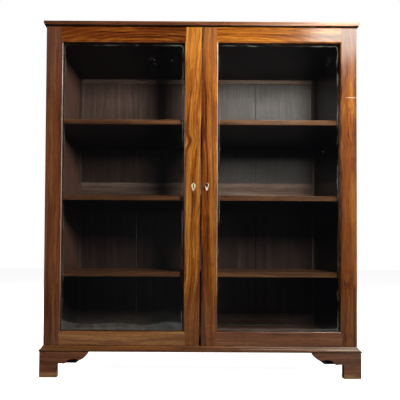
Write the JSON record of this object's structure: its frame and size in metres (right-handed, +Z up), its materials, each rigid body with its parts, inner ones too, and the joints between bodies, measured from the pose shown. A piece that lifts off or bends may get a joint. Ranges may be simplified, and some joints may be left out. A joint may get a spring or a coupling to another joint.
{
  "type": "display cabinet",
  "caption": "Low antique mahogany display cabinet with glazed doors, loose shelves, a moulded top and base, and shaped bracket feet.",
  "frame": {"origin": "on the floor, at the middle of the footprint", "axes": "+X to the right seen from the front, +Y to the back, +Z up; the doors face -Y"},
  "size_m": [1.296, 0.376, 1.446],
  "materials": {
    "polished_mahogany": "old shellac polish, worn",
    "shelf_wood": "satin",
    "back_wood": "matte",
    "back_panel_wood": "matte",
    "old_glass": "polished, dusty at the edges",
    "aged_brass": "tarnished",
    "dark_steel": "dull",
    "bone": "smooth, stained"
  },
  "bodies": {
    "case": {"side_left": "polished_mahogany", "side_right": "polished_mahogany", "bottom_board": "shelf_wood", "carcase_top": "shelf_wood", "top_board": "polished_mahogany", "base_moulding_front": "polished_mahogany", "base_moulding_left": "polished_mahogany", "base_moulding_right": "polished_mahogany", "foot_front_left_face": "polished_mahogany", "foot_front_left_return": "polished_mahogany", "foot_front_right_face": "polished_mahogany", "foot_front_right_return": "polished_mahogany", "foot_back_left_side": "polished_mahogany", "foot_back_left_rear": "polished_mahogany", "foot_back_right_side": "polished_mahogany", "foot_back_right_rear": "polished_mahogany", "foot_glue_blocks": "back_wood", "back_stile_left": "back_wood", "back_stile_right": "back_wood", "back_rail_top": "back_wood", "back_rail_middle": "back_wood", "back_rail_bottom": "back_wood", "back_muntins": "back_wood", "back_panels_upper": "back_panel_wood", "back_panels_lower": "back_wood", "shelf_pegs": "aged_brass", "case_hinge_leaves": "aged_brass", "hinge_pins": "aged_brass", "case_screws": "dark_steel", "bolt_keeps": "aged_brass"},
    "left_door": {"left_door_hinge_stile": "polished_mahogany", "left_door_meeting_stile": "polished_mahogany", "left_door_top_rail": "polished_mahogany", "left_door_bottom_rail": "polished_mahogany", "left_door_glass": "old_glass", "left_door_beads": "polished_mahogany", "left_door_escutcheon": "bone", "left_door_hinge_leaves": "aged_brass", "left_door_screws": "dark_steel", "lock_strike": "aged_brass", "upper_bolt_plate": "aged_brass", "lower_bolt_plate": "aged_brass"},
    "right_door": {"right_door_hinge_stile": "polished_mahogany", "right_door_meeting_stile": "polished_mahogany", "right_door_top_rail": "polished_mahogany", "right_door_bottom_rail": "polished_mahogany", "right_door_glass": "old_glass", "right_door_beads": "polished_mahogany", "right_door_escutcheon": "bone", "right_door_hinge_leaves": "aged_brass", "right_door_screws": "dark_steel", "lock_case": "dark_steel", "lock_cover": "aged_brass"},
    "lock_bolt": {"lock_bolt": "dark_steel"},
    "upper_bolt": {"upper_bolt": "aged_brass"},
    "lower_bolt": {"lower_bolt": "aged_brass"},
    "shelf_upper": {"shelf_upper": "shelf_wood"},
    "shelf_middle": {"shelf_middle": "shelf_wood"},
    "shelf_lower": {"shelf_lower": "shelf_wood"}
  },
  "joints": [
    {"name": "left_door_hinge", "type": "hinge", "parent": "case", "child": "left_door", "pos_m": [-0.6394, -0.1525, 0.7769], "axis": [0, 0, -1], "range_deg": [0, 175]},
    {"name": "right_door_hinge", "type": "hinge", "parent": "case", "child": "right_door", "pos_m": [0.6394, -0.1525, 0.7769], "axis": [0, 0, 1], "range_deg": [0, 175]},
    {"name": "lock_bolt_slide", "type": "slide", "parent": "right_door", "child": "lock_bolt", "axis": [-1, 0, 0], "range_m": [0, 0.009]},
    {"name": "upper_bolt_slide", "type": "slide", "parent": "left_door", "child": "upper_bolt", "axis": [0, 0, 1], "range_m": [0, 0.012]},
    {"name": "lower_bolt_slide", "type": "slide", "parent": "left_door", "child": "lower_bolt", "axis": [0, 0, -1], "range_m": [0, 0.012]},
    {"name": "upper_shelf_lift", "type": "slide", "parent": "case", "child": "shelf_upper", "axis": [0, 0, 1], "range_m": [0, 0.1145]},
    {"name": "middle_shelf_lift", "type": "slide", "parent": "case", "child": "shelf_middle", "axis": [0, 0, 1], "range_m": [0, 0.1145]},
    {"name": "lower_shelf_lift", "type": "slide", "parent": "case", "child": "shelf_lower", "axis": [0, 0, 1], "range_m": [0, 0.1145]}
  ]
}
